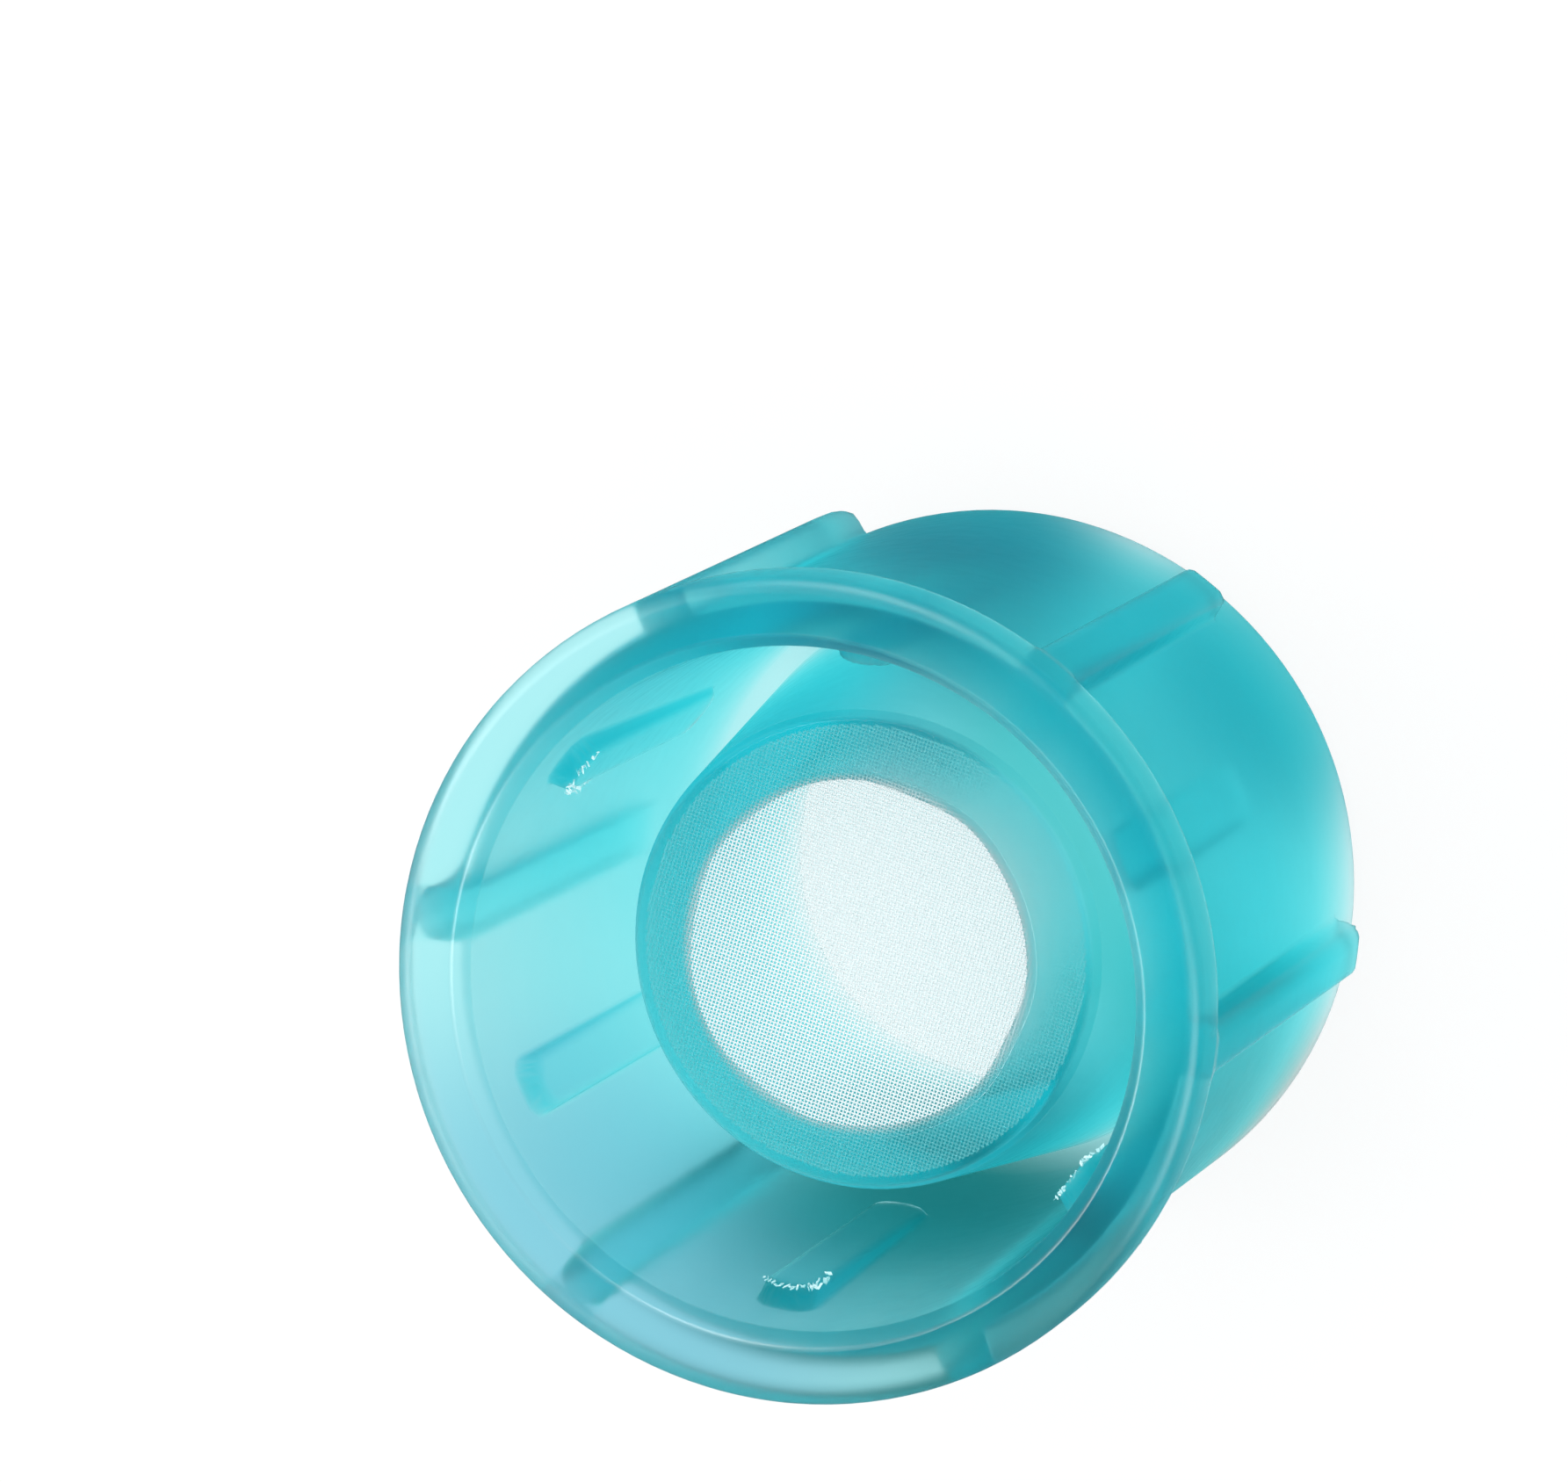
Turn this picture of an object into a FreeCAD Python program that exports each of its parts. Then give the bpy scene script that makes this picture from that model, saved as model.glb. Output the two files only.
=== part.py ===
# Cell strainer cap: a ribbed snap cap for a round-bottom tube, with a woven nylon filter disc
# moulded into the tip of its central plug.
#
# Millimetres. The cap stands on its closed end with its open end up: the origin is the centre of
# the closed end's outer face, and +Z runs along the axis and out of the open end.
# A rib points along +X.

import FreeCAD, Part
import math
import os

# The tube that the cap closes.
tube_outer_diameter = 12.0
lug_clearance = 0.1
seat_clearance = 0.15

# Skirt: the outer wall, its flange at the open end, and its rounded closed end.
cap_height = 14.9
lug_height = 0.5
skirt_wall = 0.7
flange_overhang = 0.7
flange_thickness = 1.4
flange_front_round = 0.35
flange_back_round = 0.25
lip_lead_in_width = 0.25
lip_lead_in_depth = 0.45
lip_round = 0.12
end_thickness = 1.2
end_outer_round = 0.6
floor_round = 0.2

# Grip ribs on the outside, flush with the flange.
rib_count = 6
rib_width = 1.0
rib_end_setback = 2.2
rib_end_round = 0.6
rib_side_round = 0.3

# Lugs on the inside of the skirt, midway between the ribs, which grip the tube.
lug_width = 1.1
lug_start_depth = 1.8
lug_end_depth = 10.0
lug_round = 0.2

# Plug: the hollow tapered boss in the middle, which carries the filter on its tip.
plug_setback = 4.55
plug_tip_wall = 1.32
plug_root_wall = 1.37
plug_tip_lead_in_width = 0.12
plug_tip_lead_in_depth = 0.3
plug_tip_round = 0.1
plug_root_round = 0.2

# Inlet: the funnel through the closed end and the plug, which narrows to the filter window.
window_radius = 3.4
window_land = 0.7
inlet_mouth_radius = 4.4
inlet_mouth_round = 0.3

# Filter disc, held all round its edge in the plastic of the plug's tip.
mesh_thickness = 0.08
mesh_cover = 0.1
mesh_edge_cover = 0.15

# Sizes that follow from the ones above.
tube_radius = tube_outer_diameter / 2
lug_face_radius = tube_radius + lug_clearance
skirt_inner_radius = lug_face_radius + lug_height
skirt_outer_radius = skirt_inner_radius + skirt_wall
skirt_floor_radius = tube_radius + seat_clearance
flange_radius = skirt_outer_radius + flange_overhang
flange_back_z = cap_height - flange_thickness
plug_tip_z = cap_height - plug_setback
plug_tip_radius = window_radius + plug_tip_wall
plug_face_radius = plug_tip_radius - plug_tip_lead_in_width
plug_root_radius = inlet_mouth_radius + plug_root_wall
mesh_top_z = plug_tip_z - mesh_cover
mesh_bottom_z = mesh_top_z - mesh_thickness
mesh_radius = plug_face_radius - mesh_edge_cover


def rounded_outline(corners):
    """A closed flat face in the XZ plane. Each corner is (x, z, radius); straight runs join the
    corners, and a corner with a radius is replaced by the arc that touches both of its runs."""
    points = [FreeCAD.Vector(x, 0, z) for x, z, radius in corners]
    runs = []
    for index, (x, z, radius) in enumerate(corners):
        corner = points[index]
        to_last = (points[index - 1] - corner).normalize()
        to_next = (points[(index + 1) % len(points)] - corner).normalize()
        if radius == 0:
            runs.append((corner, corner, corner))
            continue
        half_angle = to_last.getAngle(to_next) / 2
        reach = radius / math.tan(half_angle)
        middle_way = (to_last + to_next).normalize()
        middle = corner + middle_way * (radius / math.sin(half_angle) - radius)
        runs.append((corner + to_last * reach, middle, corner + to_next * reach))
    edges = []
    for index, (start, middle, end) in enumerate(runs):
        if start != end:
            edges.append(Part.Arc(start, middle, end).toShape())
        edges.append(Part.LineSegment(end, runs[(index + 1) % len(runs)][0]).toShape())
    return Part.Face(Part.Wire(edges))


def turned(corners):
    """The solid that an outline sweeps in one full turn about the cap's axis."""
    return rounded_outline(corners).revolve(FreeCAD.Vector(0, 0, 0), FreeCAD.Vector(0, 0, 1), 360)


def around(shape, first_angle):
    """One copy of a shape for each rib, evenly spaced about the axis from first_angle in degrees."""
    copies = []
    for index in range(rib_count):
        copy = shape.copy()
        angle = first_angle + index * 360 / rib_count
        copy.rotate(FreeCAD.Vector(0, 0, 0), FreeCAD.Vector(0, 0, 1), angle)
        copies.append(copy)
    return copies


def shell():
    """The turned form of the cap: flange, skirt, closed end, plug and funnel in one section."""
    return turned([
        (inlet_mouth_radius, 0, inlet_mouth_round),
        (skirt_outer_radius, 0, end_outer_round),
        (skirt_outer_radius, flange_back_z, flange_back_round),
        (flange_radius, flange_back_z, flange_back_round),
        (flange_radius, cap_height, flange_front_round),
        (skirt_inner_radius + lip_lead_in_width, cap_height, lip_round),
        (skirt_inner_radius, cap_height - lip_lead_in_depth, lip_round),
        (skirt_floor_radius, end_thickness, floor_round),
        (plug_root_radius, end_thickness, plug_root_round),
        (plug_tip_radius, plug_tip_z - plug_tip_lead_in_depth, plug_tip_round),
        (plug_face_radius, plug_tip_z, plug_tip_round),
        (window_radius, plug_tip_z, 0),
        (window_radius, plug_tip_z - window_land, 0),
    ])


def grip_rib():
    """A rib along +X: its root is buried in the skirt wall, its top runs into the flange, and its
    lower end and its long edges are rounded."""
    root_radius = skirt_outer_radius - skirt_wall / 2
    top_z = cap_height - flange_thickness / 2
    side = rounded_outline([
        (root_radius, rib_end_setback, 0),
        (flange_radius, rib_end_setback, rib_end_round),
        (flange_radius, top_z, 0),
        (root_radius, top_z, 0),
    ])
    bar = side.extrude(FreeCAD.Vector(0, rib_width, 0))
    bar.translate(FreeCAD.Vector(0, -rib_width / 2, 0))
    outer_edges = []
    for edge in bar.Edges:
        box = edge.BoundBox
        along_the_bar = box.YLength < rib_width / 2
        if along_the_bar and box.XMax > flange_radius - rib_end_round / 2 and box.ZMin < top_z - rib_width / 2:
            outer_edges.append(edge)
    rounded = bar.makeFillet(rib_side_round, outer_edges)
    envelope = Part.makeCylinder(flange_radius, cap_height)
    return rounded.common(envelope)


def tube_lug():
    """A lug along +X on the inside of the skirt: a bar with half-round ends, its inner edge eased."""
    half_width = lug_width / 2
    low_z = cap_height - lug_end_depth + half_width
    high_z = cap_height - lug_start_depth - half_width
    buried_radius = skirt_inner_radius + skirt_wall / 2
    low = [FreeCAD.Vector(lug_face_radius, side * half_width, low_z) for side in (-1, 1)]
    high = [FreeCAD.Vector(lug_face_radius, side * half_width, high_z) for side in (-1, 1)]
    low_end = FreeCAD.Vector(lug_face_radius, 0, low_z - half_width)
    high_end = FreeCAD.Vector(lug_face_radius, 0, high_z + half_width)
    rim = Part.Wire([
        Part.LineSegment(low[1], high[1]).toShape(),
        Part.Arc(high[1], high_end, high[0]).toShape(),
        Part.LineSegment(high[0], low[0]).toShape(),
        Part.Arc(low[0], low_end, low[1]).toShape(),
    ])
    bar = Part.Face(rim).extrude(FreeCAD.Vector(buried_radius - lug_face_radius, 0, 0))
    face_edges = [edge for edge in bar.Edges if edge.BoundBox.XMax < lug_face_radius + lug_round]
    return bar.makeFillet(lug_round, face_edges)


def nylon_mesh():
    """The filter disc. Its weave is far finer than the disc is wide, so the solid is a plain disc."""
    return Part.makeCylinder(mesh_radius, mesh_thickness, FreeCAD.Vector(0, 0, mesh_bottom_z))


def cap_body():
    """The moulding: the turned shell with its ribs and lugs, and the slot that grips the filter."""
    between_ribs = 180 / rib_count
    additions = around(grip_rib(), 0) + around(tube_lug(), between_ribs)
    body = shell().fuse(additions).removeSplitter()
    return body.cut(nylon_mesh())


os.makedirs("parts", exist_ok=True)
for name, make in (("cap_body", cap_body), ("nylon_mesh", nylon_mesh)):
    shape = make()
    solids = shape.Solids
    print(name, "solids", len(solids), "valid", shape.isValid(), "volume", round(shape.Volume, 3))
    shape = solids[0] if len(solids) == 1 else shape
    shape.exportStep(os.path.join("parts", name + ".step"))
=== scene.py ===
# %% [markdown]
# This lesson dresses a cell strainer cap: a translucent teal snap cap for a small round-bottom
# tube, with a woven filter in the tip of its middle plug. The cap is only 16 mm across.
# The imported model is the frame. Every size below is in millimetres, as on a drawing, and is
# turned into Blender's metres where a mesh is made.

# %% Load the frame
import math

import bpy
import numpy as np
from mathutils import Matrix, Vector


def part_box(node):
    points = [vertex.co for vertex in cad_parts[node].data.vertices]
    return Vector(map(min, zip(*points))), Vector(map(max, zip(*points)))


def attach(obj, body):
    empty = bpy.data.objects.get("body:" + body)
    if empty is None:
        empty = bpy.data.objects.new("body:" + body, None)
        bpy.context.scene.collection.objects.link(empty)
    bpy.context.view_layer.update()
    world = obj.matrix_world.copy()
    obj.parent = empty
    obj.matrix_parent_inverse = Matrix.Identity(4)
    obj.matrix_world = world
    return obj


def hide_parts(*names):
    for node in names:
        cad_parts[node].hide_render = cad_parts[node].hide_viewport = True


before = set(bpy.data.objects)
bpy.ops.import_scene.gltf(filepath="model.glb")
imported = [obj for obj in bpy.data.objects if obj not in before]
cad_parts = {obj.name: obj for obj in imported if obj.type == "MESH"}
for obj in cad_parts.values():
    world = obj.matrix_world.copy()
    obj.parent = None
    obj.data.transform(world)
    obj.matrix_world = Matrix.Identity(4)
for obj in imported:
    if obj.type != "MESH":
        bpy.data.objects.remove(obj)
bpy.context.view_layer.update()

MM = 0.001
far_corner = np.array(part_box("cap_body")[1]) / MM
cap_height = far_corner[2]
flange_radius = far_corner[0]
print("cap height", round(cap_height, 3), "flange radius", round(flange_radius, 3))

# %% [markdown]
# The camera comes first, because the photograph was taken from close by with a long lens and the
# cap's two rims show how it was turned. A pinhole camera was fitted to those two outlines. The
# axis of the cap, out of its open end, is given as the camera sees it: x to the right, y up and
# z towards the camera. One rib's direction in the picture fixes the turn about the axis.

# %% Camera sizes
IMAGE_WIDTH = 1785
FOCAL_PIXELS = 12032.0
SENSOR_WIDTH = 36.0
NEAREST_SEEN = 10.0
rim_centre_seen = np.array([0.1726, -4.7951, -200.0])
axis_seen = np.array([-0.29628509, -0.15571705, 0.94232019])
rib_direction_degrees = 53.0


def row_axes_seen(axis, rib_degrees):
    """The part's x, y and z axes as the camera sees them. x is the direction square to the axis
    whose picture points rib_degrees anticlockwise from the right; y is axis cross x."""
    angle = math.radians(rib_degrees)
    flat = np.array([math.cos(angle), math.sin(angle), 0.0])
    depth = -(flat @ axis) / axis[2]
    x_axis = flat + np.array([0.0, 0.0, depth])
    x_axis /= np.linalg.norm(x_axis)
    return np.stack([x_axis, np.cross(axis, x_axis), axis], axis=1)


axis_seen /= np.linalg.norm(axis_seen)
seen_from_row = row_axes_seen(axis_seen, rib_direction_degrees)
row_from_seen = seen_from_row.T
camera_place = np.array([0.0, 0.0, cap_height]) - row_from_seen @ rim_centre_seen

camera_data = bpy.data.cameras.new("camera")
camera_data.sensor_width = SENSOR_WIDTH
camera_data.lens = SENSOR_WIDTH * FOCAL_PIXELS / IMAGE_WIDTH
camera_data.clip_start = NEAREST_SEEN * MM
camera = bpy.data.objects.new("camera", camera_data)
camera_turn = Matrix(row_from_seen.tolist()).to_4x4()
camera.matrix_world = Matrix.Translation(camera_place * MM) @ camera_turn
bpy.context.scene.collection.objects.link(camera)
bpy.context.scene.camera = camera
print("camera at", np.round(camera_place, 1), "mm, lens", round(camera_data.lens, 1))

# %% [markdown]
# The moulding is one closed skin. Its section, from the funnel's mouth round the outside, over
# the flange, down the inside and up the plug, is a row of corners. The skin is that section
# carried round the axis. The sizes are the drawing's, so that the skin and the solid agree.

# %% Sizes of the moulding
skirt_radius = 7.3
skirt_rim_inner_radius = 6.6
skirt_floor_radius = 6.15
flange_thickness = 1.4
end_thickness = 1.2
lip_width = 0.25
lip_depth = 0.45
plug_setback = 4.55
plug_tip_z = cap_height - plug_setback
plug_tip_radius = 4.72
plug_face_radius = 4.6
plug_root_radius = 5.77
plug_lead_in_depth = 0.3
window_radius = 3.4
window_land = 0.7
inlet_mouth_radius = 4.4
mesh_cover = 0.1
feather_width = 0.22
feather_edge = 0.015
window_drift = 0.16
window_drift_angle = math.radians(151)
flange_back_z = cap_height - flange_thickness

rib_count = 6
rib_half_width = 0.5
rib_end_z = 2.2
rib_round = 0.3
rib_end_round = 0.6
lug_half_width = 0.55
lug_face_radius = 6.1
lug_start_depth = 1.8
lug_end_depth = 10.0
lug_low_z = cap_height - lug_end_depth
lug_high_z = cap_height - lug_start_depth
lug_round = 0.2
root_fillet = 0.1
print("flange's back at", round(flange_back_z, 2), "mm, plug's tip at", round(plug_tip_z, 2), "mm")

# %% [markdown]
# Each corner below is a radius, a height and the rounding of that corner, in the order that the
# section runs. No edge of a moulding is truly sharp, so every corner has some rounding, down to
# the thin feather of plastic at the filter window's edge.

# %% Corners of the section
inlet_mouth_round = 0.3
end_outer_round = 0.6
flange_back_round = 0.25
flange_front_round = 0.35
lip_round = 0.12
floor_round = 0.2
plug_round = 0.1
window_round = 0.05
feather_round = 0.005

CORNERS = [
    (inlet_mouth_radius, 0.0, inlet_mouth_round),
    (skirt_radius, 0.0, end_outer_round),
    (skirt_radius, flange_back_z, flange_back_round),
    (flange_radius, flange_back_z, flange_back_round),
    (flange_radius, cap_height, flange_front_round),
    (skirt_rim_inner_radius + lip_width, cap_height, lip_round),
    (skirt_rim_inner_radius, cap_height - lip_depth, lip_round),
    (skirt_floor_radius, end_thickness, floor_round),
    (plug_root_radius, end_thickness, floor_round),
    (plug_tip_radius, plug_tip_z - plug_lead_in_depth, plug_round),
    (plug_face_radius, plug_tip_z, plug_round),
    (window_radius + feather_width, plug_tip_z, window_round),
    (window_radius, plug_tip_z - mesh_cover + feather_edge, feather_round),
    (window_radius, plug_tip_z - window_land, window_round),
]
print("corners", len(CORNERS))

# %% [markdown]
# Ribs and lugs share one cross-section, that of a raised bar. A moulded bar always has a little
# lean on its flanks, so that it leaves the tool, and a small fillet at its foot, where the plastic
# turns. A Bevel modifier could round its edges, but a formula puts every point where it is wanted.

# %% Section of a raised bar
FLANK_DRAFT = 0.03
QUARTER_STEPS = 5
FLAT_STEPS = 2


def bump_section(half_width, height, top_round, fillet):
    """Half the cross-section of a raised bar, from its middle outwards: distance from the middle
    and height, as fractions of height. It is flat, then a quarter circle of top_round, then a
    flank that leans out by FLANK_DRAFT, then a quarter circle of fillet at its foot."""
    turn = np.linspace(0, math.pi / 2, QUARTER_STEPS)
    flat = half_width - top_round
    top_u = flat + top_round * np.sin(turn)
    top_h = height - top_round + top_round * np.cos(turn)
    foot_u = half_width + FLANK_DRAFT + fillet - fillet * np.cos(turn)
    foot_h = fillet - fillet * np.sin(turn)
    middle_u = np.array([half_width + FLANK_DRAFT / 2])
    middle_h = np.array([(top_h[-1] + foot_h[0]) / 2])
    inner = np.linspace(0, flat, FLAT_STEPS + 1)[:-1]
    u = np.concatenate([inner, top_u, middle_u, foot_u])
    h = np.concatenate([np.full(len(inner), height), top_h, middle_h, foot_h])
    return u, h / height


rib_height = flange_radius - skirt_radius
lug_height = skirt_rim_inner_radius - lug_face_radius
rib_u, rib_h = bump_section(rib_half_width, rib_height, rib_round, root_fillet)
end_u, end_h = bump_section(rib_end_round, rib_height, rib_end_round, root_fillet)
lug_u, lug_h = bump_section(lug_half_width, lug_height, lug_round, root_fillet)
print("a rib stands", round(rib_height, 2), "mm up, a lug", round(lug_height, 2), "mm")

# %% [markdown]
# The moulding's own section gets its corners rounded in the same way. Rounded corners matter here
# more than on an opaque thing, because light goes through them and each one bends it. The straight
# runs between them need few points, apart from the heights where a bar's end is rounded.

# %% Steps along a straight run
RUN_STEP = 0.6
LONG_RUN = 5.0
MARK_CLEARANCE = RUN_STEP / 3
RUN_END_SHARE = 0.01


def run_shares(first, last, marks):
    """Shares of the way from first to last, 0 to 1, in equal steps of about RUN_STEP. Heights from
    marks that fall on a run taller than LONG_RUN are added to it, and steps nearer to one than
    MARK_CLEARANCE go."""
    length = np.linalg.norm(last - first)
    shares = np.linspace(0, 1, max(2, int(round(length / RUN_STEP)) + 1))
    rise = last[1] - first[1]
    if abs(rise) <= LONG_RUN:
        return shares
    at_marks = (marks - first[1]) / rise
    clear = np.abs(shares[:, None] - at_marks[None]).min(1) * length > MARK_CLEARANCE
    clear[[0, -1]] = True
    inside = (at_marks > RUN_END_SHARE) & (at_marks < 1 - RUN_END_SHARE)
    return np.unique(np.concatenate([shares[clear], at_marks[inside]]))


# %% Section with rounded corners
ARC_POINTS = 4
ARC_POINTS_BY_SIZE = 10


def rounded_section(corners, marks):
    """The closed section as points (radius, height). A corner becomes the arc of its rounding:
    centre plus rounding times (cos, sin) between its two runs, with more points where it is large
    or turns far. A run is its first point plus each share of the way to its last."""
    table = np.array(corners)
    corner, rounding = table[:, :2], table[:, 2]
    before = np.roll(corner, 1, axis=0) - corner
    after = np.roll(corner, -1, axis=0) - corner
    before /= np.linalg.norm(before, axis=1)[:, None]
    after /= np.linalg.norm(after, axis=1)[:, None]
    half = np.arccos((before * after).sum(1)) / 2
    reach = rounding / np.tan(half)
    start = corner + before * reach[:, None]
    end = corner + after * reach[:, None]
    way = before + after
    way /= np.linalg.norm(way, axis=1)[:, None]
    centre = corner + way * (rounding / np.sin(half))[:, None]
    pieces = []
    for i in range(len(corner)):
        turned = 1 - half[i] / math.pi * 2
        steps = ARC_POINTS + int(ARC_POINTS_BY_SIZE * rounding[i] ** 0.5 * turned ** 0.5)
        a = np.arctan2(*(start[i] - centre[i])[::-1])
        b = np.arctan2(*(end[i] - centre[i])[::-1])
        sweep = (b - a + math.pi) % (2 * math.pi) - math.pi
        angles = a + sweep * np.linspace(0, 1, steps)
        pieces.append(centre[i] + rounding[i] * np.stack([np.cos(angles), np.sin(angles)], 1))
        first, last = end[i], start[(i + 1) % len(corner)]
        shares = run_shares(first, last, marks)[1:-1, None]
        pieces.append(first + (last - first) * shares)
    return np.concatenate(pieces)


# %% [markdown]
# Every piece becomes a mesh in the same way: one array of points and one array of quads, handed
# over whole. That is far faster than adding points one by one, and it leaves each object at the
# origin, unturned, with its place in its points.

# %% A mesh from arrays


def make_mesh(name, points, quads, smooth=True):
    """A mesh object at the origin from points in millimetres and quads of point numbers."""
    mesh = bpy.data.meshes.new(name)
    mesh.vertices.add(len(points))
    mesh.vertices.foreach_set("co", (points * MM).astype(np.float32).ravel())
    mesh.loops.add(quads.size)
    mesh.loops.foreach_set("vertex_index", quads.astype(np.int32).ravel())
    mesh.polygons.add(len(quads))
    mesh.polygons.foreach_set("loop_start", np.arange(0, quads.size, 4, dtype=np.int32))
    mesh.polygons.foreach_set("use_smooth", np.full(len(quads), smooth))
    mesh.update(calc_edges=True)
    mesh.validate()
    piece = bpy.data.objects.new(name, mesh)
    bpy.context.scene.collection.objects.link(piece)
    return piece


# %% [markdown]
# A grid shows a rib's crisp edge only where its lines run along that edge. So the lines are not
# evenly spaced. Round the axis they crowd on the flanks of the ribs and lugs, and along the
# section they crowd on the corners and on the bars' rounded ends.

# %% Stations round the axis and along the section
LINES_BETWEEN_BARS = 8

rib_angles = rib_u / (skirt_radius + flange_radius) * 2
lug_angles = lug_u / (skirt_rim_inner_radius + lug_face_radius) * 2
pitch = 2 * math.pi / rib_count
between = np.linspace(rib_angles[-1], pitch / 2 - lug_angles[-1], LINES_BETWEEN_BARS)[1:-1]
half_sector = np.concatenate([rib_angles, between, pitch / 2 - lug_angles[::-1]])
sector = np.concatenate([half_sector, pitch - half_sector[1:-1][::-1]])
theta = (sector[None] + pitch * np.arange(rib_count)[:, None]).ravel()

marks = np.concatenate([
    rib_end_z + rib_end_round - end_u,
    lug_low_z + lug_half_width - lug_u,
    lug_high_z - lug_half_width + lug_u,
])
section = rounded_section(CORNERS, np.sort(marks))
print("stations round the axis", len(theta), "points along the section", len(section))

# %% [markdown]
# Ribs and lugs are not added pieces on the real cap: the tool was cut there, and the plastic
# flowed into the cut. So here they are a change of radius. A rib lifts the outer wall to the
# flange's radius, and a lug brings the inner wall in to the circle that grips the tube.

# %% Where the ribs and lugs are


def sector_offset(theta, phase):
    """Angle from the nearest of the six directions that start at phase: theta minus phase, folded
    into minus to plus half a sector."""
    return (theta - phase + pitch / 2) % pitch - pitch / 2


def rib_lift(theta, z):
    """How far the outer wall is lifted to the flange's radius, 0 to 1: the smaller of the rib's
    cross-section and its rounded end."""
    across = np.abs(sector_offset(theta, 0.0)) * (skirt_radius + flange_radius) / 2
    beyond = np.maximum(rib_end_z + rib_end_round - z, 0)
    return np.minimum(np.interp(across, rib_u, rib_h), np.interp(beyond, end_u, end_h))


def lug_lift(theta, z):
    """How far the inner wall is brought in to the lug's face, 0 to 1, from the distance to the
    lug's middle line, so that its ends are half round."""
    across = sector_offset(theta, pitch / 2) * (skirt_rim_inner_radius + lug_face_radius) / 2
    past_low = np.maximum(lug_low_z + lug_half_width - z, 0)
    past_high = np.maximum(z - lug_high_z + lug_half_width, 0)
    return np.interp(np.sqrt(across**2 + past_low**2 + past_high**2), lug_u, lug_h)


half_way = cap_height / 2
print("lift in a rib's middle", rib_lift(0.0, half_way))
print("lift between two ribs", rib_lift(pitch / 2, half_way))

# %% [markdown]
# The edge of the filter window is not cut. It is where the molten plastic stopped as it crept
# into the weave, so on the real cap it is no true circle, and it lies a little off the middle.

# %% The window's edge
WINDOW_WAVES = ((7, 0.03, 0.6), (4, 0.02, 2.1), (11, 0.01, 0.0))


def soft_polygon(theta):
    """How far the filter window's edge wanders from a circle: the drift of the whole window to one
    side, and the sum of size times cos(count times theta plus phase) over a few low waves."""
    waves = sum(size * np.cos(count * theta + phase) for count, size, phase in WINDOW_WAVES)
    return window_drift * np.cos(theta - window_drift_angle) + waves


edge_wander = soft_polygon(theta)
print("window's edge wanders by", np.round([edge_wander.min(), edge_wander.max()], 2), "mm")

# %% [markdown]
# Now the skin itself. Blender could turn the section with a Screw modifier and join on the ribs
# with booleans, but a boolean leaves long thin triangles at each join, and their shading shows
# through clear plastic. One grid for everything keeps the skin closed and even, and each of its
# points knows how far up a rib or a lug it is.

# %% Points of the moulding
HAIR = 1e-6
CORNER_MARGIN = 0.02
WINDOW_MARGIN = 0.06
LIP_MARGIN = 0.2
ROUNDING_REACH = 0.4
CLIMB_HEIGHT = 0.5
half_wall = (skirt_radius - skirt_rim_inner_radius) / 2


def moulding():
    """Radius and height of every grid point, section along the first index and theta along the
    second, then turned into x, y and z. The radius is the section's, plus the rib's lift towards
    the flange, minus the lug's lift towards the tube, plus the window's wander at its edge. Under
    a rib the flange's back corner is spread into an even climb. Besides the points it gives how
    far each one is up a rib and up a lug, 0 to 1."""
    r, z = (np.repeat(section[:, [k]], len(theta), axis=1) for k in (0, 1))
    angle = np.repeat(theta[None], len(section), axis=0)
    index = np.arange(len(section))
    rim = index[section[:, 1] > cap_height - HAIR][0]
    section_r, section_z = section[:, 0], section[:, 1]
    # Ribs, on the outer wall up to the flange.
    outer = (index < rim) & (section_r > skirt_radius - half_wall)
    outer &= section_z < flange_back_z + ROUNDING_REACH
    rib = rib_lift(angle, z) * outer[:, None]
    back = index[outer & (section_z > flange_back_z - CLIMB_HEIGHT)]
    climb = np.linspace(section_z[back[0]], section_z[back[-1]], len(back))
    z[back] += rib[back] * (climb[:, None] - z[back])
    r += rib * np.maximum(flange_radius - r, 0) * (z > rib_end_z - ROUNDING_REACH)
    # Lugs, on the inner wall.
    wall = (index > rim) & (section_r > skirt_floor_radius + CORNER_MARGIN)
    wall &= section_z < cap_height - lip_depth - LIP_MARGIN
    lug = lug_lift(angle, z) * wall[:, None]
    r += lug * (lug_face_radius - r)
    # The window's edge.
    near_window = (index > rim) & (section_z > plug_tip_z - window_land / 2)
    near_window &= section_r < window_radius + feather_width + WINDOW_MARGIN
    r += soft_polygon(angle) * near_window[:, None]
    return np.stack([r * np.cos(angle), r * np.sin(angle), z], axis=-1), rib, lug


points, rib, lug = moulding()
print("grid of", points.shape[:2], "points")

# %% The moulding's skin


def closed_grid_quads(rows, columns):
    """Quads of a grid that closes on itself both ways, with their faces outward."""
    i, j = np.meshgrid(np.arange(rows), np.arange(columns), indexing="ij")
    row, next_row = i * columns, (i + 1) % rows * columns
    j_next = (j + 1) % columns
    around = [row + j, row + j_next, next_row + j_next, next_row + j]
    return np.stack(around, axis=-1).reshape(-1, 4)


cap = make_mesh("cap_moulding", points.reshape(-1, 3), closed_grid_quads(len(section), len(theta)))
print("cap moulding triangles", 2 * len(cap.data.polygons))

# %% [markdown]
# Two numbers are kept at each point for the plastic's material. Sharp outward edges of a moulding
# catch a soft sheen from a coat. The flanks of ribs and lugs get a painted shade, a deeper teal in
# the plastic's colour, which stands in for the longer way that light takes through the plastic
# there. Both numbers follow from the shape, so they are worked out here.

# %% Edges and flanks, kept for the material
EDGE_CURVATURE = 6.0
FLANK_EDGE = 0.45
RIB_FLANK_SHADE = 0.5


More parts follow.
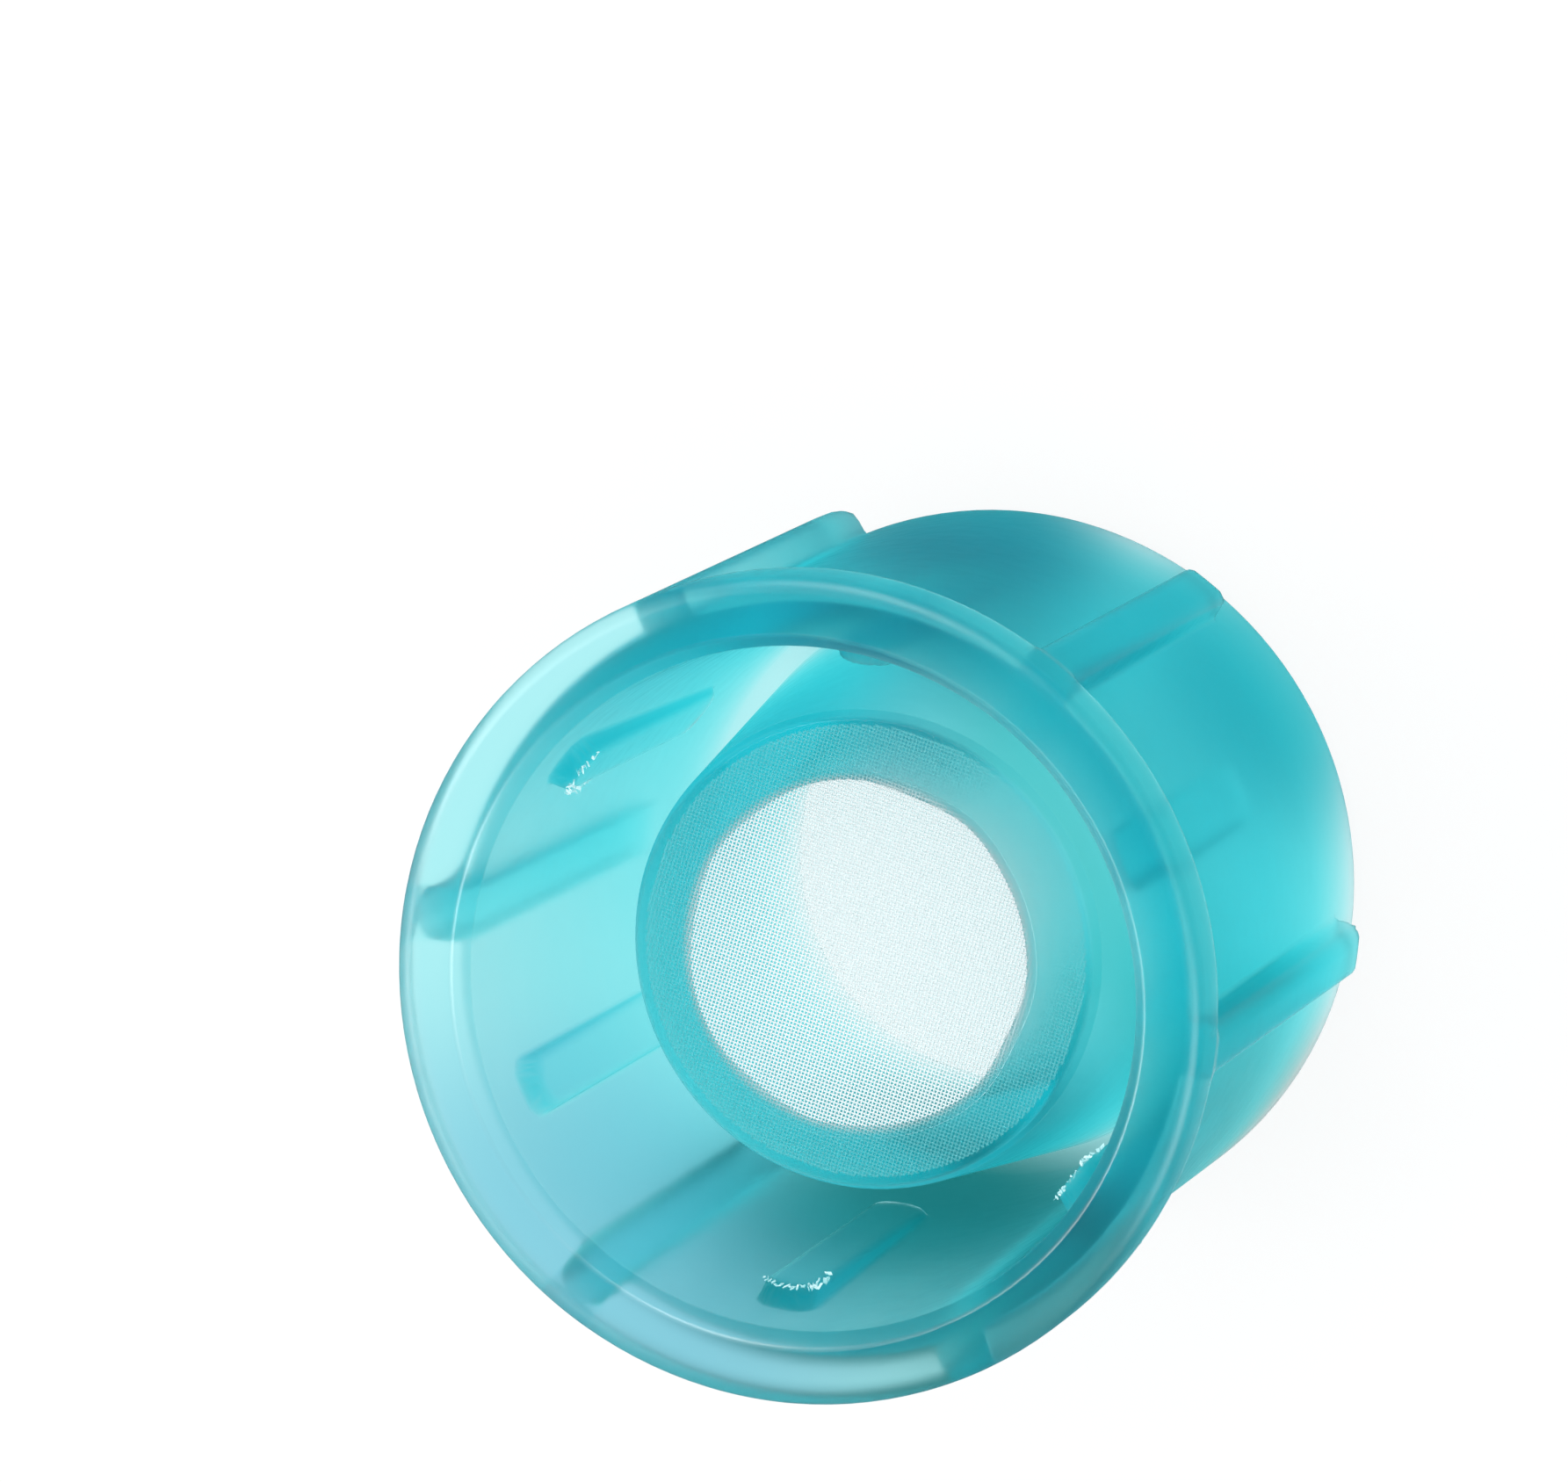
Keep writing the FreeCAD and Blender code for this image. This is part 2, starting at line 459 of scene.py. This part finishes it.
def edge_sharpness(section):
    """How sharply the section turns outward at each point, 0 to 1: the turn between the point's two
    runs over their mean length is its curvature, and EDGE_CURVATURE per millimetre counts as 1."""
    before = section - np.roll(section, 1, axis=0)
    after = np.roll(section, -1, axis=0) - section
    crossed = before[:, 0] * after[:, 1] - before[:, 1] * after[:, 0]
    turn = np.arctan2(crossed, (before * after).sum(1))
    length = (np.linalg.norm(before, axis=1) + np.linalg.norm(after, axis=1)) / 2
    return np.clip(turn / length / EDGE_CURVATURE, 0, 1)


def store(piece, name, values):
    """Keeps one number for each point of a piece, for its material to read."""
    attribute = piece.data.attributes.new(name, "FLOAT", "POINT")
    attribute.data.foreach_set("value", np.ravel(values).astype(np.float32))


rib_flank = 4 * (rib * (1 - rib))
lug_flank = 4 * lug * (1 - lug)
edge = np.maximum(edge_sharpness(section)[:, None], FLANK_EDGE * rib_flank)
store(cap, "edge", edge)
# The flank number sets a painted shade in the plastic's colour.
store(cap, "flank", np.minimum(RIB_FLANK_SHADE * rib_flank + lug_flank, 1))
print("points on an edge", int((edge > 0.5).sum()), "of", edge.size)

# %% [markdown]
# Three of the lugs are scuffed: where the moulding was pulled off its core, the lug's end was torn
# up into a ragged line of tiny whitened slivers. Each sliver is a slanted block along the lug's
# outline. They are real pieces of mesh, because a bump has no ragged outline.

# %% Torn slivers
SCUFFED_LUGS = np.array([1, 3, 4])
SLIVERS_PER_LUG = 34
SLIVER_SEED = 7
SLIVER_WAY = (-1.2, 2.6)
SLIVER_REACH = (0.7, 1.05)
SLIVER_SIZE = (0.5, 1.4)
SLIVER_DEPTH = 0.05
sliver_half_sizes = np.array([0.055, 0.022, 0.012])


def torn_slivers():
    """Blocks at centre plus and minus three random slanted half-edges. The centres follow the lug's
    outline: a half circle about its upper end, and then straight down a flank once the way along
    it passes a quarter turn. Each is a little way inside or outside that line."""
    rng = np.random.default_rng(SLIVER_SEED)
    shape = (len(SCUFFED_LUGS), SLIVERS_PER_LUG)
    way = rng.uniform(*SLIVER_WAY, shape)
    bent = np.clip(way, -math.pi / 2, math.pi / 2)
    reach = lug_half_width * rng.uniform(*SLIVER_REACH, shape)
    across = reach * np.sin(bent)
    up = lug_high_z - lug_half_width + reach * np.cos(bent) - (np.abs(way) - np.abs(bent))
    angle = pitch * (SCUFFED_LUGS[:, None] + 0.5) + across / lug_face_radius
    radius = lug_face_radius + rng.uniform(0.0, SLIVER_DEPTH, shape)
    centre = np.stack([radius * np.cos(angle), radius * np.sin(angle), up], axis=-1)
    centre = centre.reshape(-1, 1, 3)
    edges = rng.normal(size=(centre.shape[0], 3, 3))
    edges /= np.linalg.norm(edges, axis=2, keepdims=True)
    edges *= (sliver_half_sizes * rng.uniform(*SLIVER_SIZE, (centre.shape[0], 3)))[:, :, None]
    edges[np.linalg.det(edges) < 0, 2] *= -1
    signs = np.array([(a, b, c) for a in (-1, 1) for b in (-1, 1) for c in (-1, 1)])
    corners = centre + signs @ edges
    block = np.array([
        (0, 1, 3, 2), (4, 6, 7, 5), (0, 4, 5, 1),
        (2, 3, 7, 6), (0, 2, 6, 4), (1, 5, 7, 3),
    ])
    quads = block[None] + 8 * np.arange(len(corners))[:, None, None]
    return make_mesh("torn_slivers", corners.reshape(-1, 3), quads.reshape(-1, 4), smooth=False)


slivers = torn_slivers()
print("slivers", len(slivers.data.polygons) // 6)

# %% [markdown]
# The filter is plain-woven nylon: each thread goes over one and under the next. Its openings are
# 35 thousandths of a millimetre. A grid of holes in a texture would be lighter, but it is flat,
# and from the side it would show as a sheet. Real threads are still affordable here: each one is
# a thin bar whose middle line is a wave, and the second set crosses the first half a wave apart.

# %% Sizes of the filter
opening = 0.035
thread = 0.038
weave_pitch = opening + thread
mesh_radius = 4.45
mesh_middle_z = plug_tip_z - mesh_cover - thread
weave_turn = math.radians(20.0)
print("threads to a set, about", round(2 * mesh_radius / weave_pitch))

# %% The filter's threads


def woven_set(name, turn, phase):
    """All threads of one set. Along thread number k the middle line's height is half a thread
    times cos(pi x / pitch + pi k + phase), and it ends where the filter's circle does. The thread's
    section is a square on its corner."""
    count = int(mesh_radius / weave_pitch)
    k = np.arange(-count, count + 1)
    half_chord = np.sqrt(mesh_radius**2 - (k * weave_pitch) ** 2)
    steps = np.floor(half_chord / (weave_pitch / 2)).astype(int)
    most = steps.max()
    n = np.arange(-most, most + 1)
    x = n[None] * weave_pitch / 2
    rise = thread / 2 * np.cos(math.pi * x / weave_pitch + math.pi * k[:, None] + phase)
    ring = np.array([(1, 0), (0, 1), (-1, 0), (0, -1)]) * thread / 2
    px = np.broadcast_to(x[:, :, None], (len(k), len(n), 4))
    py = np.broadcast_to(k[:, None, None] * weave_pitch, px.shape) + ring[:, 0]
    pz = np.broadcast_to(rise[:, :, None], px.shape) + ring[:, 1] + mesh_middle_z
    c, s = math.cos(turn), math.sin(turn)
    grid = np.stack([px * c - py * s, px * s + py * c, pz], axis=-1).reshape(-1, 3)
    number = np.arange(len(grid)).reshape(len(k), len(n), 4)
    kept = (n[None, :-1] >= -steps[:, None]) & (n[None, 1:] <= steps[:, None])
    a, b = number[:, :-1][kept], number[:, 1:][kept]
    sides = np.stack([a, np.roll(a, -1, axis=1), np.roll(b, -1, axis=1), b], axis=-1).reshape(-1, 4)
    rows = np.arange(len(k))
    first, last = number[rows, most - steps], number[rows, most + steps]
    quads = np.concatenate([sides, first[:, ::-1], last])
    used, quads = np.unique(quads, return_inverse=True)
    return make_mesh(name, grid[used], quads.reshape(-1, 4))


warp = woven_set("filter_warp", weave_turn, 0.0)
weft = woven_set("filter_weft", weave_turn + math.pi / 2, math.pi)
print("filter triangles", 2 * (len(warp.data.polygons) + len(weft.data.polygons)))

# %% [markdown]
# A material is a tree of nodes. Wiring it by hand hides the sums that it does, so one small class
# wraps a socket and lets Python's own signs add the Math nodes: 0.4 + 0.1 * noise is two of them.
# Colours and vectors go through Mix and Vector Math nodes.

# %% Shader helper


class Signal:
    """A shader socket that takes part in Python sums: each operator adds a Math node. A colour Mix
    node's sockets are known by their numbers, because it has others of the same names."""

    FIRST_COLOUR = 6
    SECOND_COLOUR = 7
    MIXED_COLOUR = 2

    def __init__(self, tree, socket=None):
        self.tree = tree
        self.socket = socket

    def node(self, kind, settings=None, sockets=None, output=0):
        """Adds a node: its settings first, then the values or links of its sockets. What it gives
        back stands for one of the node's outputs."""
        made = self.tree.nodes.new(kind)
        for name, value in (settings or {}).items():
            setattr(made, name, value)
        for name, value in (sockets or {}).items():
            if isinstance(value, Signal):
                self.tree.links.new(value.socket, made.inputs[name])
            else:
                made.inputs[name].default_value = value
        return Signal(self.tree, made.outputs[output] if made.outputs else None)

    def math(self, operation, first, second):
        """A Math node on two numbers."""
        return self.node("ShaderNodeMath", {"operation": operation}, {0: first, 1: second})

    def mix(self, share, first, second, blend="MIX"):
        """A colour Mix node: the first colour at a share of 0, moving towards the second."""
        settings = {"data_type": "RGBA", "blend_type": blend}
        sockets = {0: share, self.FIRST_COLOUR: first, self.SECOND_COLOUR: second}
        return self.node("ShaderNodeMix", settings, sockets, self.MIXED_COLOUR)

    def __add__(self, other):
        return self.math("ADD", self, other)

    def __sub__(self, other):
        return self.math("SUBTRACT", self, other)

    def __rsub__(self, other):
        return self.math("SUBTRACT", other, self)

    def __mul__(self, other):
        return self.math("MULTIPLY", self, other)

    __radd__ = __add__
    __rmul__ = __mul__


def new_material(name):
    """A material with an empty tree, and a Signal that adds nodes to it."""
    material = bpy.data.materials.new(name)
    material.use_nodes = True
    material.node_tree.nodes.clear()
    return material, Signal(material.node_tree)


# %% [markdown]
# Moulded plastic is never quite even, so two of the materials read a noise. It works on Object
# coordinates, which stay with the piece wherever it is put.

# %% A noise on a piece


def noise(tree, place, scale, detail):
    """A noise of 0 to 1 over a piece: scale blots to the metre, with detail finer layers."""
    return tree.node("ShaderNodeTexNoise", {}, {"Vector": place, "Scale": scale, "Detail": detail})


# %% [markdown]
# The plastic is low-density polyethylene with a little blue-green dye. Light goes through it, but
# its waxy surface blurs what is behind. Two things make that look. The surface is rough, with a
# bend close to none, because the real plastic scatters a little on its way through and hardly
# mirrors. The colour comes from the volume: light is absorbed in proportion to its way through the
# wall, so thick parts such as the ribs turn deeper by themselves. A diffuse share would be the
# easier way, but it lays a haze over the dark zones that the real cap does not have.

# %% Teal polyethylene
CLEAR_SHARE = 0.995
PLASTIC_ABSORPTION_DENSITY = 1000.0
PLASTIC_ABSORPTION = (0.5, 0.95, 0.965, 1.0)
PLASTIC_TINT = ((0.83, 0.945, 0.955, 1.0), (0.93, 0.965, 0.97, 1.0))
# Painted shade: the flanks of ribs and lugs are moved towards this deeper teal.
PAINTED_FLANK_SHADE = (0.3, 0.86, 0.9, 1.0)
PAINTED_FLANK_SHADE_SHARE = 0.7
SCATTER_BEND = 1.08
FINE_GRAIN = 1800.0
BROAD_GRAIN = 260.0
GRAIN_BUMP = 0.06
GRAIN_DEPTH = 0.2 * MM
WAXY_ROUGHNESS = 0.4
ROUGHNESS_SPREAD = 0.08
PLAIN_SHEEN = 0.01
EDGE_SHEEN = 0.95
SHEEN_ROUGHNESS = 0.22


def teal_polyethylene():
    """Tint: between two pale teals by the broad noise, then moved towards PAINTED_FLANK_SHADE by
    the flank number, a painted shade for the longer way through the plastic on the flanks.
    Roughness: WAXY_ROUGHNESS plus ROUGHNESS_SPREAD times the fine noise. Sheen: a rough coat,
    next to none of it on plain walls and EDGE_SHEEN more where an edge is sharpest."""
    material, tree = new_material("waxy_teal_plastic")
    place = tree.node("ShaderNodeTexCoord", output="Object")
    edge = tree.node("ShaderNodeAttribute", {"attribute_name": "edge"}, output="Fac")
    flank = tree.node("ShaderNodeAttribute", {"attribute_name": "flank"}, output="Fac")
    fine = noise(tree, place, FINE_GRAIN, 1.0)
    broad = noise(tree, place, BROAD_GRAIN, 0.0)
    tint = tree.mix(broad, *PLASTIC_TINT)
    # Painted shade on the flanks of ribs and lugs, for the longer way that light takes through
    # them.
    tint = tree.mix(PAINTED_FLANK_SHADE_SHARE * flank, tint, PAINTED_FLANK_SHADE)
    grain = {"Height": fine, "Strength": GRAIN_BUMP, "Distance": GRAIN_DEPTH}
    plastic = tree.node("ShaderNodeBsdfPrincipled", {}, {
        "Base Color": tint,
        "Roughness": WAXY_ROUGHNESS + ROUGHNESS_SPREAD * fine,
        "IOR": SCATTER_BEND,
        "Transmission Weight": CLEAR_SHARE,
        "Coat Weight": PLAIN_SHEEN + EDGE_SHEEN * edge,
        "Coat Roughness": SHEEN_ROUGHNESS,
        "Normal": tree.node("ShaderNodeBump", {}, grain),
    })
    volume = tree.node("ShaderNodeVolumeAbsorption", {}, {
        "Color": PLASTIC_ABSORPTION, "Density": PLASTIC_ABSORPTION_DENSITY})
    tree.node("ShaderNodeOutputMaterial", {}, {"Surface": plastic, "Volume": volume})
    return material


cap.data.materials.append(teal_polyethylene())
print("plastic nodes", len(cap.data.materials[0].node_tree.nodes))

# %% [markdown]
# The nylon threads are white and hardly see-through. Inside the window they are dry and show as
# cloth. Outside it the plastic has soaked into them and they almost vanish: wetted threads bend
# light as the plastic does, and only a pale teal trace of the weave is left.

# %% Woven nylon
DRY_THREAD_COLOUR = (0.97, 0.99, 1.0, 1.0)
WETTED_THREAD_COLOUR = (0.5, 0.98, 1.0, 1.0)
WETTED_THREAD = 0.3
THREAD_CLEAR_SHARE = 0.05


def woven_nylon():
    """How much a thread shows goes from WETTED_THREAD in the plastic to 1 in the window, by the
    distance from the window's middle, with a smooth step across the window's feathered edge."""
    material, tree = new_material("nylon_threads")
    place = tree.node("ShaderNodeTexCoord", output="Object")
    drift_x = window_drift * MM * math.cos(window_drift_angle)
    drift_y = window_drift * MM * math.sin(window_drift_angle)
    drift = (drift_x, drift_y, 0.0)
    from_middle = tree.node("ShaderNodeVectorMath", {"operation": "SUBTRACT"}, {0: place, 1: drift})
    flat = (1.0, 1.0, 0.0)
    across = tree.node("ShaderNodeVectorMath", {"operation": "MULTIPLY"}, {0: from_middle, 1: flat})
    radius = tree.node("ShaderNodeVectorMath", {"operation": "LENGTH"}, {0: across}, output="Value")
    showing = tree.node("ShaderNodeMapRange", {"interpolation_type": "SMOOTHSTEP"}, {
        "Value": radius,
        "From Min": (window_radius + feather_width) * MM,
        "From Max": window_radius * MM,
    })
    thread_shader = tree.node("ShaderNodeBsdfPrincipled", {}, {
        "Base Color": tree.mix(showing, WETTED_THREAD_COLOUR, DRY_THREAD_COLOUR),
        "Roughness": WAXY_ROUGHNESS,
        "IOR": SCATTER_BEND,
        "Transmission Weight": THREAD_CLEAR_SHARE,
        "Alpha": WETTED_THREAD + (1.0 - WETTED_THREAD) * showing,
    })
    tree.node("ShaderNodeOutputMaterial", {}, {"Surface": thread_shader})
    return material


nylon = woven_nylon()
for thread_set in (warp, weft):
    thread_set.data.materials.append(nylon)
print("threads show from", window_radius + feather_width, "mm inwards")

# %% [markdown]
# Polyethylene turns white where it is torn, because the stretched plastic is full of tiny gaps.
# So the slivers are opaque, and run from pale teal to nearly white.

# %% Whitened plastic
SLIVER_GRAIN = 9000.0
SLIVER_COLOURS = ((0.45, 0.86, 0.9, 1.0), (0.9, 0.97, 0.98, 1.0))


def whitened_polyethylene():
    """A colour between the two SLIVER_COLOURS, by a noise about as fine as a sliver."""
    material, tree = new_material("whitened_polyethylene")
    place = tree.node("ShaderNodeTexCoord", output="Object")
    plastic = tree.node("ShaderNodeBsdfPrincipled", {}, {
        "Base Color": tree.mix(noise(tree, place, SLIVER_GRAIN, 1.0), *SLIVER_COLOURS),
        "Roughness": WAXY_ROUGHNESS,
    })
    tree.node("ShaderNodeOutputMaterial", {}, {"Surface": plastic})
    return material


slivers.data.materials.append(whitened_polyethylene())
print("materials", [material.name for material in bpy.data.materials])

# %% [markdown]
# The cap stands on a plain white floor. The floor is a wide disc, so that no edge of it shows, and
# it lies a hair below the cap, because two faces in one place would flicker.

# %% The floor
FLOOR_REACH = np.array([0.0, 400.0, 3000.0])
FLOOR_SIDES = 48
FLOOR_DROP = 0.02


def floor_disc():
    """Rings of points at the radii in FLOOR_REACH, joined by quads, with all of the first ring's
    points in the middle."""
    turns = np.linspace(0, 2 * math.pi, FLOOR_SIDES + 1)[:-1]
    x = FLOOR_REACH[:, None] * np.cos(turns)
    y = FLOOR_REACH[:, None] * np.sin(turns)
    points = np.stack([x, y, np.full(x.shape, -FLOOR_DROP)], axis=-1)
    i, j = np.meshgrid(np.arange(len(FLOOR_REACH) - 1), np.arange(FLOOR_SIDES), indexing="ij")
    inner, outer = i * FLOOR_SIDES, (i + 1) * FLOOR_SIDES
    j_next = (j + 1) % FLOOR_SIDES
    quads = np.stack([inner + j, outer + j, outer + j_next, inner + j_next], axis=-1)
    return make_mesh("floor", points.reshape(-1, 3), quads.reshape(-1, 4), smooth=False)


floor = floor_disc()
print("floor triangles", 2 * len(floor.data.polygons))

# %% [markdown]
# Clear and translucent things are lit by what stands round them. On the real cap the plastic shows
# deep teal zones, and here they come from painted shadows. The floor looks white to the camera, but
# light that has come through the plastic finds soft dark patches painted on it. They stand in for
# the cap's own shadow, tinted teal by the plastic, and for other shade near its foot. Each patch is
# a place and two widths in millimetres, with its turn in degrees between them, and then the shares
# of red, green and blue that it leaves. The places were found by following rays from the camera to
# the floor.

# %% Painted shadows on the floor, seen through the plastic
WHITE = (1.0, 1.0, 1.0, 1.0)
PAINTED_SHADOWS_SEEN_THROUGH = [
    ((-7.1, -3.5), -49, (4.6, 2.3), (0.0, 0.2, 0.2)),
    ((4.9, 5.0), 0, (2.9, 2.9), (0.0, 0.35, 0.42)),
    ((6.2, -1.8), 0, (2.6, 2.8), (0.1, 0.6, 0.65)),
    ((-0.8, -7.7), 0, (2.4, 1.6), (0.85, 0.65, 0.62)),
    ((0.4, -1.0), 65, (4.6, 1.1), (0.32, 0.7, 0.67)),
    ((2.8, 7.8), 0, (1.6, 1.4), (0.4, 0.9, 0.92)),
    ((-12.2, 1.5), 0, (3.4, 5.0), (0.55, 0.7, 0.82)),
]


def floor_patch(tree, x, y, centre, turn, widths):
    """A soft elliptical patch on the floor, 1 at its centre: exp(-(u^2 + v^2)^2 / 2), where u and v
    are the distances along the patch's two axes over its two widths. Sizes are in millimetres."""
    c, s = math.cos(turn), math.sin(turn)
    u = ((x - centre[0]) * c + (y - centre[1]) * s) * (1 / widths[0])
    v = ((y - centre[1]) * c - (x - centre[0]) * s) * (1 / widths[1])
    square = u * u + v * v
    return tree.math("EXPONENT", square * square * -0.5, 0.0)


floor_material, tree = new_material("floor")
place = tree.node("ShaderNodeTexCoord", output="Object")
x = tree.node("ShaderNodeSeparateXYZ", {}, {0: place}, output="X") * (1 / MM)
y = tree.node("ShaderNodeSeparateXYZ", {}, {0: place}, output="Y") * (1 / MM)
through = tree.node("ShaderNodeLightPath", output="Is Transmission Ray")
colour = WHITE
# Each painted shadow darkens the white only for light that has come through the plastic.
for centre, turn, widths, tone in PAINTED_SHADOWS_SEEN_THROUGH:
    patch = floor_patch(tree, x, y, centre, math.radians(turn), widths)
    colour = tree.mix(through * patch, colour, (*tone, 1.0), "MULTIPLY")
print("patches", len(PAINTED_SHADOWS_SEEN_THROUGH))

# %% [markdown]
# The floor has three faces. Straight from the camera, or through the plastic, it is a white that
# gives off its own light, so that it is as white as the photograph's background. A small share
# of it stays matte and takes the cap's soft shadow. In the plastic's mirror it is dim, apart from
# one lighter spot in front, because a mirrored white floor would wash out the moulding's shape.

# %% The floor's material
FLOOR_WHITE = (0.9, 0.9, 0.9, 1.0)
SEEN_WHITE_SHARE = 0.85
THROUGH_WHITE_SHARE = 0.97
MIRRORED_DIM = (0.3, 0.3, 0.3, 1.0)
MIRRORED_SPOT = (0.9, 0.9, 0.9, 1.0)
SHEEN_CENTRE = (-0.5, -8.5)
SHEEN_WIDTHS = (4.0, 4.0)
seen = tree.node("ShaderNodeLightPath", output="Is Camera Ray")
mirrored = tree.node("ShaderNodeLightPath", output="Is Glossy Ray")
sheen_spot = floor_patch(tree, x, y, SHEEN_CENTRE, 0.0, SHEEN_WIDTHS)
matte = tree.node("ShaderNodeBsdfDiffuse", {}, {"Color": FLOOR_WHITE})
# Through the plastic this white carries the painted shadows.
bright = tree.node("ShaderNodeEmission", {}, {"Color": colour, "Strength": 1.0})
mirrored_tone = tree.mix(sheen_spot, MIRRORED_DIM, MIRRORED_SPOT)
dim = tree.node("ShaderNodeEmission", {}, {"Color": mirrored_tone, "Strength": 1.0})
white_share = SEEN_WHITE_SHARE * seen + THROUGH_WHITE_SHARE * through
lit = tree.node("ShaderNodeMixShader", {}, {0: white_share, 1: matte, 2: bright})
mixed = tree.node("ShaderNodeMixShader", {}, {0: mirrored * (1 - through), 1: lit, 2: dim})
tree.node("ShaderNodeOutputMaterial", {}, {"Surface": mixed})
floor.data.materials.append(floor_material)
floor_material.cycles.emission_sampling = "NONE"
print("floor nodes", len(floor_material.node_tree.nodes))

# %% [markdown]
# The studio is the sky itself: an even white all round, and three soft round lamps drawn into it
# by direction. Lamps of their own would be the usual way, but behind rough glassy plastic they
# make the render slow and speckled, and a lamp in the sky gives the same soft gleam. The gleam
# is for mirrored light. Light that comes through the plastic sees the sky plain and brighter.

# %% Soft lamps in the sky
SOFTBOXES = ((-0.2, 0.8, 0.6), (0.6, -0.5, 0.6), (-0.85, -0.1, 0.5))
SOFTBOX_SHARPNESS = 14.0
sky_world = bpy.data.worlds.new("studio")
sky_world.use_nodes = True
sky_world.node_tree.nodes.clear()
sky = Signal(sky_world.node_tree)
sky_direction = sky.node("ShaderNodeTexCoord", output="Object")


def softbox(towards, sharpness):
    """A round soft lamp in the sky, in a direction given as the camera sees it: exp(sharpness times
    (cos a - 1)), where a is the angle from that direction."""
    way = row_from_seen @ (np.array(towards) / np.linalg.norm(towards))
    cosine = sky.node("ShaderNodeVectorMath", {"operation": "DOT_PRODUCT"}, {
        0: sky_direction, 1: tuple(way)}, output="Value")
    return sky.math("EXPONENT", (cosine - 1.0) * sharpness, 0.0)


softboxes = softbox(SOFTBOXES[0], SOFTBOX_SHARPNESS)
for towards in SOFTBOXES[1:]:
    softboxes = softboxes + softbox(towards, SOFTBOX_SHARPNESS)
print("soft lamps", len(SOFTBOXES))

# %% The studio
SOFTBOX_LEVEL = 1.8
SOFTBOX_GLEAM = 6.2
SKY_LEVEL = 1.0
SKY_CHANGE = 0.75
is_seen = sky.node("ShaderNodeLightPath", output="Is Camera Ray")
is_through = sky.node("ShaderNodeLightPath", output="Is Transmission Ray")
is_glossy = sky.node("ShaderNodeLightPath", output="Is Glossy Ray")
plain = SKY_LEVEL + SKY_CHANGE * is_through - SKY_CHANGE * is_glossy
gleam = SOFTBOX_LEVEL + SOFTBOX_GLEAM * is_glossy
lamps = softboxes * (1.0 - is_seen) * (1.0 - is_through) * gleam
backdrop = sky.node("ShaderNodeBackground", {}, {"Color": WHITE, "Strength": plain + lamps})
sky.node("ShaderNodeOutputWorld", {}, {"Surface": backdrop})
sky_world.cycles.sampling_method = "NONE"
bpy.context.scene.world = sky_world
bpy.context.scene.view_settings.view_transform = "Standard"
print("sky nodes", len(sky_world.node_tree.nodes))

# %% [markdown]
# Last, each piece is told which body it rides on and which plain solid it takes the place of.
# The slivers belong to the moulding, and the two sets of threads make up the filter.

# %% Hand the pieces over
for piece in (cap, slivers, warp, weft):
    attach(piece, "root")
for piece in (cap, slivers):
    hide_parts("cap_body")
for piece in (warp, weft):
    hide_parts("nylon_mesh")
